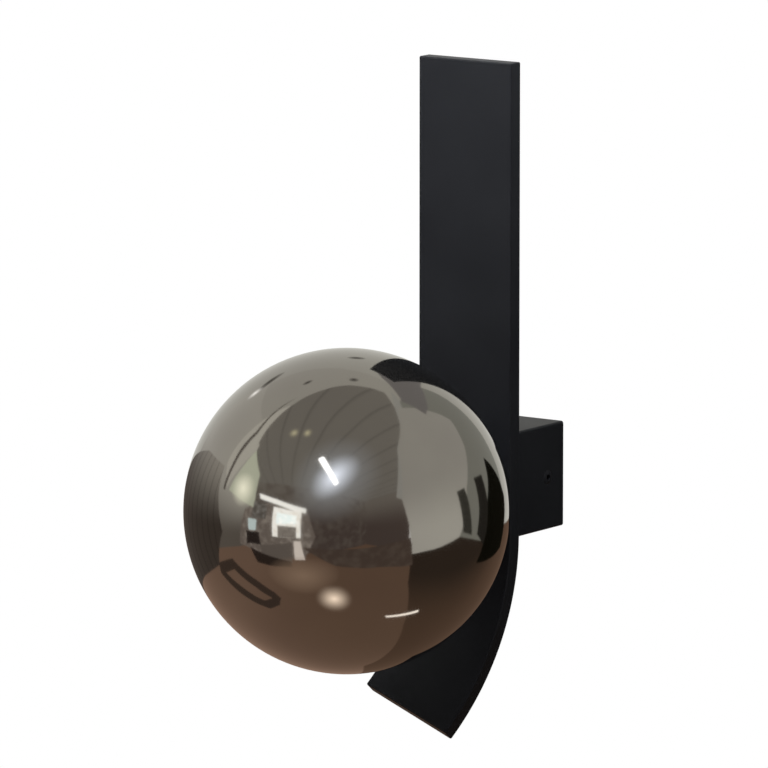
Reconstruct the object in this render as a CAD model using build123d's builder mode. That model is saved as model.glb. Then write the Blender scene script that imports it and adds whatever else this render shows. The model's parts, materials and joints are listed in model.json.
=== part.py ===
# Globe wall sconce: a curved black plate on a square wall box, carrying a mirrored glass globe.
# The wall is the plane Y = 0 and the room is on the -Y side, with +Z up. The origin is the
# centre of the wall bracket, on the axis of the lamp holder. Depths are distances from the wall.

import os
from math import cos, radians, sin, sqrt

from build123d import *

os.makedirs("parts", exist_ok=True)

# Curved plate: a flat bar that stands upright, then sweeps down, forward and to the left
plate_width = 52.0
plate_thickness = 8.0
plate_top = 199.0
bend_start = -23.0
bend_radius = 147.0
bend_angle = 40.5
bend_heading = 30.0
plate_edge_radius = 0.7

# Square box between the wall and the plate
box_size = 50.0
box_depth = 38.0
box_wall = 1.5
box_corner_radius = 1.2
side_screw_depth = 13.0
side_screw_radius = 1.9
side_screw_head_radius = 3.5
side_screw_length = 8.0

# Bracket screwed to the wall inside the box
bracket_thickness = 2.0
bracket_height = 44.0
bracket_gap = 0.1
bracket_corner_radius = 2.0
ear_height = 18.0
ear_reach = 20.0
ear_corner_radius = 4.0
slot_spacing = 28.0
slot_length = 9.0
slot_width = 4.6

# Cable hole in the bracket and the rubber bush in it
cable_bore_radius = 3.5
cable_hole_radius = 5.5
bush_flange = 1.5

# Earth screw on the bracket, with a ring lug for the lead
earth_screw_place = (12.0, 13.0)
earth_screw_radius = 1.8
earth_head_radius = 3.3
earth_head_height = 2.2
lug_ring_radius = 3.6
lug_thickness = 0.8
lug_barrel_size = 2.4
lug_barrel_offset = 6.0

# Hollow M10 nipple that clamps box, plate and cup together
nipple_radius = 4.9
nipple_bore_radius = 3.5
nipple_start = 29.0
nipple_end = 54.3
nipple_chamfer = 0.5
clearance_hole_radius = 5.25
nut_across_flats = 14.0
rear_nut_height = 4.0
front_nut_height = 3.5
washer_thickness = 0.8
lock_washer_radius = 7.2
lock_washer_teeth = 12
flat_washer_radius = 8.5

# Cup that takes the neck of the globe
cup_radius = 24.0
cup_wall = 1.5
cup_mouth = 66.5
cup_corner_radius = 3.0
ring_inner_radius = 20.2
ring_start = 57.0
ring_end = 65.0

# Glass globe
globe_radius = 75.0
globe_depth = 141.5
globe_wall = 2.2
neck_radius = 19.8
neck_bore_radius = 17.0
neck_start = 58.0
neck_rim_radius = 1.2
gasket_thickness = 1.6
gasket_gap = 0.3

# Strap that carries the lamp holder
strap_thickness = 1.5
strap_width = 11.0
strap_leg_inside = 9.0
strap_top = 56.5
strap_foot_overhang = 3.4
holder_screw_offset = 12.2
holder_screw_radius = 1.4
holder_screw_head_radius = 2.6
holder_screw_head_height = 1.8
holder_screw_tail = 1.5

# Lamp holder, with a chamber for each pin of the lamp
holder_width = 18.0
holder_height = 13.0
holder_front = 76.5
holder_ear_thickness = 2.5
holder_ear_width = 6.8
recess_length = 15.2
recess_width = 8.8
recess_depth = 9.0
wire_well_depth = 3.0
chamber_size = 4.4
pin_spacing = 9.0
contact_width = 4.0
contact_wall = 0.4
contact_floor = 0.6

# Two-pin capsule lamp
lamp_radius = 8.0
lamp_base_start = 68.2
lamp_base_front = 81.0
lamp_end = 118.0
lamp_glass_wall = 1.0
lamp_fit = 0.4
pin_length = 6.5
pin_wire_radius = 0.45
pin_loop_radius = 0.65
core_side = 6.4
core_end = 111.0
diode_width = 3.2
diode_length = 3.0
diode_height = 0.6
diode_rows = 6

# Terminal block with three poles
block_length = 26.0
block_height = 11.0
block_depth = 13.0
block_base_depth = 8.0
block_centre_height = -12.2
pole_spacing = 8.0
pole_sleeve_radius = 3.7
pole_tower_width = 5.2
barrel_radius = 2.45
barrel_bore_radius = 1.4
barrel_inset = 1.0
clamp_spread = 5.0
clamp_screw_radius = 1.5
clamp_screw_inset = 0.8
block_screw_radius = 0.95
block_screw_head_radius = 1.25
block_screw_head_height = 1.2
lead_radius = 1.0

hole_gap = 0.1
plate_back = box_depth
plate_front = plate_back + plate_thickness
bracket_width = box_size - 2 * box_wall - 2 * bracket_gap
nut_radius = nut_across_flats / sqrt(3)
block_back = bracket_thickness
block_front = block_back + block_depth
pole_depth = block_back + 6.5


# A plane parallel to the wall that faces the room: its X is the part's X, its Y the part's Z
def depth_plane(depth):
    return Plane.XZ.offset(depth)


# A plane at one side of the box that faces the middle, with its origin at the side screw
def screw_plane(side, distance):
    return Plane(origin=(side * distance, -side_screw_depth, 0), z_dir=(-side, 0, 0))


# Wall bracket: a folded plate with two ears that the side screws of the box go into
with BuildPart() as wall_bracket:
    with BuildSketch(depth_plane(0)):
        RectangleRounded(bracket_width, bracket_height, bracket_corner_radius)
    extrude(amount=bracket_thickness)
    with BuildSketch(depth_plane(bracket_thickness)):
        with GridLocations(bracket_width - bracket_thickness, 0, 2, 1):
            Rectangle(bracket_thickness, ear_height)
    extrude(amount=ear_reach - bracket_thickness)
    ear_tips = wall_bracket.edges().filter_by(Axis.X).group_by(Axis.Y)[0]
    fillet(ear_tips, radius=ear_corner_radius)
    ear_edges = wall_bracket.edges().filter_by(Axis.Z)
    ear_edges = ear_edges.filter_by(lambda edge: abs(edge.length - ear_height) < 0.01)
    fillet(ear_edges.group_by(Axis.Y)[-1], radius=bracket_thickness * 0.75)
    with BuildSketch(depth_plane(0)):
        Circle(cable_hole_radius)
        with GridLocations(slot_spacing, 0, 2, 1):
            SlotOverall(slot_length, slot_width)
        with Locations(earth_screw_place):
            Circle(earth_screw_radius + hole_gap)
        with Locations((0, block_centre_height)):
            with GridLocations(pole_spacing, 0, 2, 1):
                Circle(block_screw_radius + hole_gap / 2)
    extrude(amount=bracket_thickness, mode=Mode.SUBTRACT)
    with BuildSketch(screw_plane(1, bracket_width / 2)):
        Circle(side_screw_radius + hole_gap)
    extrude(amount=bracket_width, mode=Mode.SUBTRACT)
wall_bracket.part.label = "wall_bracket"
export_step(wall_bracket.part, "parts/wall_bracket.step")

# Rubber bush that lines the cable hole, flanged on the inside of the box
bush_start = 0.3
with BuildPart() as cable_bush:
    with BuildSketch(depth_plane(bush_start)):
        Circle(cable_hole_radius)
    extrude(amount=bracket_thickness - bush_start)
    with BuildSketch(depth_plane(bracket_thickness)):
        Circle(cable_hole_radius + 1)
    extrude(amount=bush_flange)
    chamfer(cable_bush.edges().filter_by(GeomType.CIRCLE).sort_by(Axis.Y)[0], length=0.5)
    with BuildSketch(depth_plane(0)):
        Circle(cable_bore_radius)
    extrude(amount=bracket_thickness + bush_flange, mode=Mode.SUBTRACT)
cable_bush.part.label = "cable_bush"
export_step(cable_bush.part, "parts/cable_bush.step")

# Back box: a folded steel housing, open to the wall
with BuildPart() as back_box:
    with BuildSketch(depth_plane(0)):
        RectangleRounded(box_size, box_size, box_corner_radius)
    extrude(amount=box_depth)
    offset(amount=-box_wall, openings=back_box.faces().sort_by(Axis.Y)[-1])
    with BuildSketch(depth_plane(box_depth)):
        Circle(clearance_hole_radius)
    extrude(amount=-2 * box_wall, mode=Mode.SUBTRACT)
    for side in (-1, 1):
        with Locations(Plane(origin=(side * box_size / 2, -side_screw_depth, 0), z_dir=(side, 0, 0))):
            CounterSinkHole(
                radius=side_screw_radius + 0.3,
                counter_sink_radius=side_screw_head_radius + hole_gap,
                depth=2 * box_wall,
            )
back_box.part.label = "back_box"
export_step(back_box.part, "parts/back_box.step")

# Countersunk side screws, one through each side of the box into an ear of the bracket
with BuildPart() as side_screws:
    for side in (-1, 1):
        with BuildSketch(screw_plane(side, box_size / 2 - hole_gap)):
            Circle(side_screw_head_radius)
        extrude(amount=side_screw_head_radius - side_screw_radius, taper=45)
        with BuildSketch(screw_plane(side, box_size / 2 - hole_gap)):
            Circle(side_screw_radius)
        extrude(amount=side_screw_length)
side_screws.part.label = "side_screws"
export_step(side_screws.part, "parts/side_screws.step")

# Curved plate: the bar's section turns about a level axis that lies askew to the wall
bend_way = Vector(-sin(radians(bend_heading)), -cos(radians(bend_heading)), 0)
back_corner = Vector(plate_width / 2, -plate_back, bend_start)
bend_axis = Axis(back_corner + bend_way * bend_radius, (bend_way.Y, -bend_way.X, 0))
with BuildPart() as curved_plate:
    with BuildSketch(Plane.XY.offset(bend_start)):
        with Locations((0, -(plate_back + plate_front) / 2)):
            Rectangle(plate_width, plate_thickness)
    extrude(amount=plate_top - bend_start)
    revolve(curved_plate.faces().sort_by(Axis.Z)[0], axis=bend_axis, revolution_arc=bend_angle)
    fillet(curved_plate.edges(), radius=plate_edge_radius)
    with BuildSketch(depth_plane(plate_back)):
        Circle(clearance_hole_radius)
    extrude(amount=plate_thickness, mode=Mode.SUBTRACT)
curved_plate.part.label = "curved_plate"
export_step(curved_plate.part, "parts/curved_plate.step")

# Holder cup: a spun cup clamped to the front of the plate, open towards the globe
with BuildPart() as holder_cup:
    with BuildSketch(depth_plane(plate_front)):
        Circle(cup_radius)
    extrude(amount=cup_mouth - plate_front)
    fillet(holder_cup.edges().filter_by(GeomType.CIRCLE).sort_by(Axis.Y)[-1], radius=cup_corner_radius)
    offset(amount=-cup_wall, openings=holder_cup.faces().sort_by(Axis.Y)[0])
    with BuildSketch(depth_plane(plate_front)):
        Circle(clearance_hole_radius)
    extrude(amount=cup_wall, mode=Mode.SUBTRACT)
holder_cup.part.label = "holder_cup"
export_step(holder_cup.part, "parts/holder_cup.step")

# Ring inside the cup that carries the thread for the neck of the globe
with BuildPart() as thread_ring:
    with BuildSketch(depth_plane(ring_start)):
        Circle(cup_radius - cup_wall)
        Circle(ring_inner_radius, mode=Mode.SUBTRACT)
    extrude(amount=ring_end - ring_start)
    chamfer(thread_ring.edges().group_by(Axis.Y)[0].sort_by(SortBy.LENGTH)[0], length=0.5)
thread_ring.part.label = "thread_ring"
export_step(thread_ring.part, "parts/thread_ring.step")

# Hollow nipple with chamfered ends
with BuildPart() as threaded_nipple:
    with BuildSketch(depth_plane(nipple_start)):
        Circle(nipple_radius)
        Circle(nipple_bore_radius, mode=Mode.SUBTRACT)
    extrude(amount=nipple_end - nipple_start)
    for end in (0, -1):
        outer_edge = threaded_nipple.edges().group_by(Axis.Y)[end].sort_by(SortBy.LENGTH)[-1]
        chamfer(outer_edge, length=nipple_chamfer)
threaded_nipple.part.label = "threaded_nipple"
export_step(threaded_nipple.part, "parts/threaded_nipple.step")

# Toothed lock washer under the rear nut, with its teeth on the outside
rear_washer_start = box_depth - box_wall - washer_thickness
with BuildPart() as rear_washer:
    with BuildSketch(depth_plane(rear_washer_start)):
        Circle(lock_washer_radius)
        with PolarLocations(lock_washer_radius + 0.4, lock_washer_teeth):
            Rectangle(2.2, 2.0)
        Circle(clearance_hole_radius, mode=Mode.SUBTRACT)
    extrude(amount=washer_thickness)
rear_washer.part.label = "rear_washer"
export_step(rear_washer.part, "parts/rear_washer.step")

# Hexagon nut inside the box
with BuildPart() as rear_nut:
    with BuildSketch(depth_plane(rear_washer_start - rear_nut_height)):
        RegularPolygon(radius=nut_radius, side_count=6)
        Circle(nipple_radius, mode=Mode.SUBTRACT)
    extrude(amount=rear_nut_height)
rear_nut.part.label = "rear_nut"
export_step(rear_nut.part, "parts/rear_nut.step")

# Strap: base under the front nut, two legs past the nut, two feet for the lamp holder
strap_back = plate_front + cup_wall
strap_foot_end = holder_screw_offset + strap_foot_overhang
strap_leg_outside = strap_leg_inside + strap_thickness
strap_foot_length = strap_foot_end - strap_leg_inside
with BuildPart() as holder_strap:
    with BuildSketch(Plane.XY.offset(-strap_width / 2)):
        with Locations((0, -strap_back)):
            Rectangle(2 * strap_leg_outside, strap_thickness, align=(Align.CENTER, Align.MAX))
        with GridLocations(strap_leg_inside + strap_leg_outside, 0, 2, 1):
            with Locations((0, -strap_back)):
                Rectangle(strap_thickness, strap_top - strap_back, align=(Align.CENTER, Align.MAX))
        with GridLocations(strap_leg_inside + strap_foot_end, 0, 2, 1):
            with Locations((0, -strap_top)):
                Rectangle(strap_foot_length, strap_thickness, align=(Align.CENTER, Align.MIN))
    extrude(amount=strap_width)
    for end in (0, -1):
        fillet(holder_strap.edges().filter_by(Axis.Y).group_by(Axis.X)[end], radius=2.5)
    with BuildSketch(depth_plane(strap_back)):
        Circle(clearance_hole_radius)
    extrude(amount=strap_thickness, mode=Mode.SUBTRACT)
    with BuildSketch(depth_plane(strap_top)):
        with GridLocations(2 * holder_screw_offset, 0, 2, 1):
            Circle(holder_screw_radius + hole_gap)
    extrude(amount=-strap_thickness, mode=Mode.SUBTRACT)
holder_strap.part.label = "holder_strap"
export_step(holder_strap.part, "parts/holder_strap.step")

# Flat washer and nut inside the cup
front_washer_start = strap_back + strap_thickness
with BuildPart() as front_washer:
    with BuildSketch(depth_plane(front_washer_start)):
        Circle(flat_washer_radius)
        Circle(clearance_hole_radius, mode=Mode.SUBTRACT)
    extrude(amount=washer_thickness)
front_washer.part.label = "front_washer"
export_step(front_washer.part, "parts/front_washer.step")

with BuildPart() as front_nut:
    with BuildSketch(depth_plane(front_washer_start + washer_thickness)):
        RegularPolygon(radius=nut_radius, side_count=6, rotation=30)
        Circle(nipple_radius, mode=Mode.SUBTRACT)
    extrude(amount=front_nut_height)
front_nut.part.label = "front_nut"
export_step(front_nut.part, "parts/front_nut.step")

# Lamp holder: ceramic body with two eared fixings, a recess for the lamp and a chamber per pin
chamber_end = holder_front - recess_depth - 1
with BuildPart() as lamp_holder:
    with BuildSketch(depth_plane(strap_top)):
        SlotOverall(2 * strap_foot_end, holder_ear_width)
    extrude(amount=holder_ear_thickness)
    with BuildSketch(depth_plane(strap_top)):
        RectangleRounded(holder_width, holder_height, 3)
    extrude(amount=holder_front - strap_top)
    fillet(lamp_holder.faces().sort_by(Axis.Y)[0].edges(), radius=0.8)
    with BuildSketch(depth_plane(holder_front)):
        SlotOverall(recess_length, recess_width)
    extrude(amount=-recess_depth, mode=Mode.SUBTRACT)
    with BuildSketch(depth_plane(strap_top)):
        SlotOverall(pin_spacing + chamber_size - 0.4, 7)
    extrude(amount=wire_well_depth, mode=Mode.SUBTRACT)
    with BuildSketch(depth_plane(strap_top)):
        with GridLocations(pin_spacing, 0, 2, 1):
            Rectangle(chamber_size, chamber_size)
    extrude(amount=chamber_end - strap_top, mode=Mode.SUBTRACT)
    with BuildSketch(depth_plane(chamber_end)):
        with GridLocations(pin_spacing, 0, 2, 1):
            SlotOverall(4.0, 2.0, rotation=90)
    extrude(amount=2, mode=Mode.SUBTRACT)
    with BuildSketch(depth_plane(strap_top)):
        with GridLocations(2 * holder_screw_offset, 0, 2, 1):
            Circle(holder_screw_radius + 0.3)
    extrude(amount=holder_ear_thickness, mode=Mode.SUBTRACT)
lamp_holder.part.label = "lamp_holder"
export_step(lamp_holder.part, "parts/lamp_holder.step")

# Spring contacts: a folded brass clip in each chamber, with its back to the leads
contact_back = strap_top + wire_well_depth + 0.2
contact_end = chamber_end - hole_gap
contact_gap = 2 * pin_wire_radius + 0.8
with BuildPart() as holder_contacts:
    with BuildSketch(depth_plane(contact_back)):
        with GridLocations(pin_spacing, 0, 2, 1):
            Rectangle(contact_gap + 2 * contact_wall, contact_width)
    extrude(amount=contact_end - contact_back)
    with BuildSketch(depth_plane(contact_back + contact_floor)):
        with GridLocations(pin_spacing, 0, 2, 1):
            Rectangle(contact_gap, contact_width)
    extrude(amount=contact_end - contact_back, mode=Mode.SUBTRACT)
holder_contacts.part.label = "holder_contacts"
export_step(holder_contacts.part, "parts/holder_contacts.step")

# Two cheese-head screws that hold the lamp holder on the strap
with BuildPart() as holder_screws:
    with BuildSketch(depth_plane(strap_top + holder_ear_thickness)):
        with GridLocations(2 * holder_screw_offset, 0, 2, 1):
            Circle(holder_screw_head_radius)
    extrude(amount=holder_screw_head_height)
    chamfer(holder_screws.edges().filter_by(GeomType.CIRCLE).group_by(Axis.Y)[0], length=0.5)
    with BuildSketch(depth_plane(strap_top - strap_thickness - holder_screw_tail)):
        with GridLocations(2 * holder_screw_offset, 0, 2, 1):
            Circle(holder_screw_radius)
    extrude(amount=holder_ear_thickness + strap_thickness + holder_screw_tail)
holder_screws.part.label = "holder_screws"
export_step(holder_screws.part, "parts/holder_screws.step")

# Terminal block: a moulded strip with a sleeve and a tower per pole
block_plane = Plane.XY.offset(block_centre_height - block_height / 2)
with BuildPart() as terminal_block:
    with BuildSketch(block_plane):
        with Locations((0, -block_back - block_base_depth / 2)):
            Rectangle(block_length, block_base_depth)
        with Locations((0, -pole_depth)):
            with GridLocations(pole_spacing, 0, 3, 1):
                Circle(pole_sleeve_radius)
        with Locations((0, -(pole_depth + block_front) / 2)):
            with GridLocations(pole_spacing, 0, 3, 1):
                Rectangle(pole_tower_width, block_front - pole_depth)
    extrude(amount=block_height)
    with BuildSketch(block_plane):
        with Locations((0, -pole_depth)):
            with GridLocations(pole_spacing, 0, 3, 1):
                Circle(barrel_radius + hole_gap / 2)
    extrude(amount=block_height, mode=Mode.SUBTRACT)
    with BuildSketch(depth_plane(block_front)):
        with Locations((0, block_centre_height)):
            with GridLocations(pole_spacing, clamp_spread, 3, 2):
                Circle(clamp_screw_radius + 0.2)
    extrude(amount=-(block_front - pole_depth), mode=Mode.SUBTRACT)
    with BuildSketch(depth_plane(block_front)):
        with Locations((0, block_centre_height)):
            with GridLocations(pole_spacing, 0, 2, 1):
                Circle(block_screw_head_radius + hole_gap / 2)
    extrude(amount=-block_depth, mode=Mode.SUBTRACT)
terminal_block.part.label = "terminal_block"
export_step(terminal_block.part, "parts/terminal_block.step")

# Brass barrels inside the block
with BuildPart() as terminal_barrels:
    with BuildSketch(block_plane.offset(barrel_inset)):
        with Locations((0, -pole_depth)):
            with GridLocations(pole_spacing, 0, 3, 1):
                Circle(barrel_radius)
                Circle(barrel_bore_radius, mode=Mode.SUBTRACT)
    extrude(amount=block_height - 2 * barrel_inset)
terminal_barrels.part.label = "terminal_barrels"
export_step(terminal_barrels.part, "parts/terminal_barrels.step")

# Clamping screws of the terminals, two to a pole, that stand on the barrels
clamp_screw_start = pole_depth + barrel_radius
with BuildPart() as terminal_screws:
    with BuildSketch(depth_plane(clamp_screw_start)):
        with Locations((0, block_centre_height)):
            with GridLocations(pole_spacing, clamp_spread, 3, 2):
                Circle(clamp_screw_radius)
    extrude(amount=block_front - clamp_screw_inset - clamp_screw_start)
terminal_screws.part.label = "terminal_screws"
export_step(terminal_screws.part, "parts/terminal_screws.step")

# Two screws between the poles hold the block to the bracket
block_screw_start = 0.2
with BuildPart() as block_screws:
    with BuildSketch(depth_plane(block_back + block_base_depth)):
        with Locations((0, block_centre_height)):
            with GridLocations(pole_spacing, 0, 2, 1):
                Circle(block_screw_head_radius)
    extrude(amount=block_screw_head_height)
    with BuildSketch(depth_plane(block_screw_start)):
        with Locations((0, block_centre_height)):
            with GridLocations(pole_spacing, 0, 2, 1):
                Circle(block_screw_radius)
    extrude(amount=block_back + block_base_depth - block_screw_start)
block_screws.part.label = "block_screws"
export_step(block_screws.part, "parts/block_screws.step")

# Ring lug of the earth lead, with its barrel to the right
barrel_place = (earth_screw_place[0] + lug_barrel_offset, earth_screw_place[1])
neck_place = (earth_screw_place[0] + 4.5, earth_screw_place[1])
with BuildPart() as earth_lug:
    with BuildSketch(depth_plane(bracket_thickness)):
        with Locations(earth_screw_place):
            Circle(lug_ring_radius)
        with Locations(neck_place):
            Rectangle(5, lug_barrel_size)
        with Locations(earth_screw_place):
            Circle(earth_screw_radius + 0.3, mode=Mode.SUBTRACT)
    extrude(amount=lug_thickness)
    with BuildSketch(depth_plane(bracket_thickness)):
        with Locations(barrel_place):
            Rectangle(lug_barrel_size, lug_barrel_size)
    extrude(amount=3)
earth_lug.part.label = "earth_lug"
export_step(earth_lug.part, "parts/earth_lug.step")

# Earth screw, with its head towards the room
earth_head_start = bracket_thickness + lug_thickness
with BuildPart() as earth_screw:
    with BuildSketch(depth_plane(0.2)):
        with Locations(earth_screw_place):
            Circle(earth_screw_radius)
    extrude(amount=earth_head_start - 0.2)
    with BuildSketch(depth_plane(earth_head_start)):
        with Locations(earth_screw_place):
            Circle(earth_head_radius)
    extrude(amount=earth_head_height)
    chamfer(earth_screw.edges().filter_by(GeomType.CIRCLE).group_by(Axis.Y)[0], length=0.6)
earth_screw.part.label = "earth_screw"
export_step(earth_screw.part, "parts/earth_screw.step")

# Rubber gasket between the mouth of the cup and the shoulder of the globe
with BuildPart() as neck_gasket:
    with BuildSketch(depth_plane(cup_mouth + gasket_gap)):
        Circle(cup_radius - 0.5)
        Circle(neck_radius + 0.4, mode=Mode.SUBTRACT)
    extrude(amount=gasket_thickness)
    chamfer(neck_gasket.edges().group_by(Axis.Y)[0].sort_by(SortBy.LENGTH)[-1], length=0.6)
neck_gasket.part.label = "neck_gasket"
export_step(neck_gasket.part, "parts/neck_gasket.step")

# Glass globe: a thin ball with a short neck, turned about the axis of the lamp holder
neck_reach = 20.0
profile_height = 2 * (globe_radius + neck_reach)
with BuildPart() as glass_globe:
    with BuildSketch(Plane.XY):
        with Locations((0, -globe_depth)):
            Circle(globe_radius)
        with Locations((0, -neck_start)):
            Rectangle(2 * neck_radius, neck_reach, align=(Align.CENTER, Align.MAX))
        with Locations((0, -globe_depth)):
            Circle(globe_radius - globe_wall, mode=Mode.SUBTRACT)
        with Locations((0, -neck_start)):
            bore_align = (Align.CENTER, Align.MAX)
            Rectangle(2 * neck_bore_radius, neck_reach, align=bore_align, mode=Mode.SUBTRACT)
        with Locations((0, -globe_depth)):
            half_align = (Align.MAX, Align.CENTER)
            Rectangle(globe_radius + 1, profile_height, align=half_align, mode=Mode.SUBTRACT)
    revolve(axis=Axis.Y)
    fillet(glass_globe.edges().group_by(Axis.Y)[-1], radius=neck_rim_radius)
glass_globe.part.label = "glass_globe"
export_step(glass_globe.part, "parts/glass_globe.step")

# Capsule lamp: a slotted tongue that the holder takes, and a round collar under the glass
collar_start = holder_front + 0.7
with BuildPart() as lamp_base:
    with BuildSketch(depth_plane(lamp_base_start)):
        SlotOverall(recess_length - 2 * lamp_fit, recess_width - 2 * lamp_fit)
    extrude(amount=collar_start - lamp_base_start)
    with BuildSketch(depth_plane(collar_start)):
        Circle(lamp_radius)
    extrude(amount=lamp_base_front - collar_start)
    fillet(lamp_base.edges().filter_by(GeomType.CIRCLE).group_by(Axis.Y)[0], radius=0.6)
lamp_base.part.label = "lamp_base"
export_step(lamp_base.part, "parts/lamp_base.step")

# Each pin is a loop of wire
loop_end = pin_length - pin_loop_radius - pin_wire_radius - lamp_base_start
with BuildPart() as lamp_pins:
    for side in (-1, 1):
        with BuildLine(Plane.YZ.offset(side * pin_spacing / 2)) as loop:
            Line((-lamp_base_start, -pin_loop_radius), (loop_end, -pin_loop_radius))
            CenterArc((loop_end, 0), pin_loop_radius, -90, 180)
            Line((loop_end, pin_loop_radius), (-lamp_base_start, pin_loop_radius))
        with BuildSketch(Plane(origin=loop.line @ 0, z_dir=loop.line % 0)):
            Circle(pin_wire_radius)
        sweep(path=loop.line)
lamp_pins.part.label = "lamp_pins"
export_step(lamp_pins.part, "parts/lamp_pins.step")

# Glass envelope with a domed end
with BuildPart() as lamp_envelope:
    with BuildSketch(depth_plane(lamp_base_front)):
        Circle(lamp_radius)
    extrude(amount=lamp_end - lamp_base_front)
    fillet(lamp_envelope.edges().group_by(Axis.Y)[0], radius=lamp_radius - 0.8)
    offset(amount=-lamp_glass_wall, openings=lamp_envelope.faces().sort_by(Axis.Y)[-1])
lamp_envelope.part.label = "lamp_envelope"
export_step(lamp_envelope.part, "parts/lamp_envelope.step")

# Ceramic core with a column of diodes on each of its four sides
with BuildPart() as lamp_core:
    with BuildSketch(depth_plane(lamp_base_front)):
        RectangleRounded(core_side, core_side, 0.5)
    extrude(amount=core_end - lamp_base_front)
lamp_core.part.label = "lamp_core"
export_step(lamp_core.part, "parts/lamp_core.step")

diode_pitch = (core_end - lamp_base_front) / diode_rows
with BuildPart() as lamp_diodes:
    for quarter in range(4):
        angle = radians(90 * quarter)
        outward = Vector(cos(angle), 0, sin(angle))
        with BuildSketch(Plane(origin=outward * core_side / 2, x_dir=(0, -1, 0), z_dir=outward)):
            with Locations(((lamp_base_front + core_end) / 2, 0)):
                with GridLocations(diode_pitch, 0, diode_rows, 1):
                    Rectangle(diode_length, diode_width)
        extrude(amount=diode_height)
lamp_diodes.part.label = "lamp_diodes"
export_step(lamp_diodes.part, "parts/lamp_diodes.step")

# Leads: two run from the terminal block through the nipple to the lamp holder
lead_start = block_centre_height + 2.2
lead_line = 1.7
lead_turn_depth = 24.0
nipple_exit = nipple_end + 0.3
holder_entry = strap_top + 1.4
lead_end = contact_back - hole_gap
with BuildPart() as live_lead:
    with BuildLine() as live_route:
        FilletPolyline(
            (-pole_spacing, -pole_depth, lead_start),
            (-pole_spacing, -pole_depth, 0.5),
            (-lead_line, -lead_turn_depth, 0),
            (-lead_line, -nipple_exit, 0),
            (-pin_spacing / 2, -holder_entry, 0),
            (-pin_spacing / 2, -lead_end, 0),
            radius=[5, 8, 2, 2],
        )
    with BuildSketch(Plane(origin=live_route.line @ 0, z_dir=live_route.line % 0)):
        Circle(lead_radius)
    sweep(path=live_route.line)
live_lead.part.label = "live_lead"
export_step(live_lead.part, "parts/live_lead.step")

with BuildPart() as neutral_lead:
    with BuildLine() as neutral_route:
        FilletPolyline(
            (0, -pole_depth, lead_start),
            (0, -pole_depth, -0.5),
            (lead_line, -lead_turn_depth, 0),
            (lead_line, -nipple_exit, 0),
            (pin_spacing / 2, -holder_entry, 0),
            (pin_spacing / 2, -lead_end, 0),
            radius=[5, 8, 2, 2],
        )
    with BuildSketch(Plane(origin=neutral_route.line @ 0, z_dir=neutral_route.line % 0)):
        Circle(lead_radius)
    sweep(path=neutral_route.line)
neutral_lead.part.label = "neutral_lead"
export_step(neutral_lead.part, "parts/neutral_lead.step")

# The earth lead runs to the lug on the bracket
barrel_front = bracket_thickness + 3
with BuildPart() as earth_lead:
    with BuildLine() as earth_route:
        FilletPolyline(
            (pole_spacing, -pole_depth, lead_start),
            (pole_spacing, -pole_depth, 4),
            (barrel_place[0], -pole_depth, barrel_place[1]),
            (barrel_place[0], -barrel_front - hole_gap, barrel_place[1]),
            radius=[4, 2.5],
        )
    with BuildSketch(Plane(origin=earth_route.line @ 0, z_dir=earth_route.line % 0)):
        Circle(lead_radius)
    sweep(path=earth_route.line)
earth_lead.part.label = "earth_lead"
export_step(earth_lead.part, "parts/earth_lead.step")

for name, route in (("live", live_route), ("neutral", neutral_route), ("earth", earth_route)):
    length = sum(edge.length for edge in route.line.edges())
    print(f"{name} lead length {length:.0f} mm")
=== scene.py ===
import json
import math

import bmesh
import bpy
from mathutils import Matrix, Vector


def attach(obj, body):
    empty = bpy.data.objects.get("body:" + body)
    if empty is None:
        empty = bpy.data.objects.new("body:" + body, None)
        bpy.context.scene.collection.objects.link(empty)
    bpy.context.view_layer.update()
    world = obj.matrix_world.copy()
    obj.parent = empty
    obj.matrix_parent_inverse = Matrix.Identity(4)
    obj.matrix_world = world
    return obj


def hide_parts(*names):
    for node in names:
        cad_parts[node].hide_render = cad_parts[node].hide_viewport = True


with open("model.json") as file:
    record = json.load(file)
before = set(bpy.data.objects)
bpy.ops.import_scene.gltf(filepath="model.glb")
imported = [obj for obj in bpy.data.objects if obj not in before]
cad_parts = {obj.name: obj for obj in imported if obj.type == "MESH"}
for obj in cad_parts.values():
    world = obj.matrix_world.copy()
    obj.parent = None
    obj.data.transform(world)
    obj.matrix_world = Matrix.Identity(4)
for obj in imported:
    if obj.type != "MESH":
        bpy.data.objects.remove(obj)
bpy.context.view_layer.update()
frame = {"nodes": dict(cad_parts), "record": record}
nodes = frame["nodes"]
scene = bpy.context.scene
scene.view_settings.view_transform = "Standard"
mm = 0.001

# the room is on the -Y side of the wall, so a depth from the wall is a negative Y

camera = {
    "azimuth": 34.98,  # degrees to the right of straight on
    "elevation": 9.25,
    "distance": 4.0,
    "target": (-50.04 * mm, -40 * mm, 40.89 * mm),
    "pixelsPerMetre": 2121,  # at the target
    "pictureWidth": 768,
}


def direction(azimuth, elevation):
    a, e = math.radians(azimuth), math.radians(elevation)
    return Vector((math.sin(a) * math.cos(e), -math.cos(a) * math.cos(e), math.sin(e)))


cameraData = bpy.data.cameras.new("camera")
cameraData.sensor_width = 36
pictureMetres = camera["pictureWidth"] / camera["pixelsPerMetre"]
cameraData.lens = cameraData.sensor_width * camera["distance"] / pictureMetres
cameraObject = bpy.data.objects.new("camera", cameraData)
scene.collection.objects.link(cameraObject)
toCamera = direction(camera["azimuth"], camera["elevation"])
cameraObject.location = Vector(camera["target"]) + toCamera * camera["distance"]
cameraObject.rotation_euler = toCamera.to_track_quat("Z", "Y").to_euler()
scene.camera = cameraObject
print("camera set")


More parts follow.
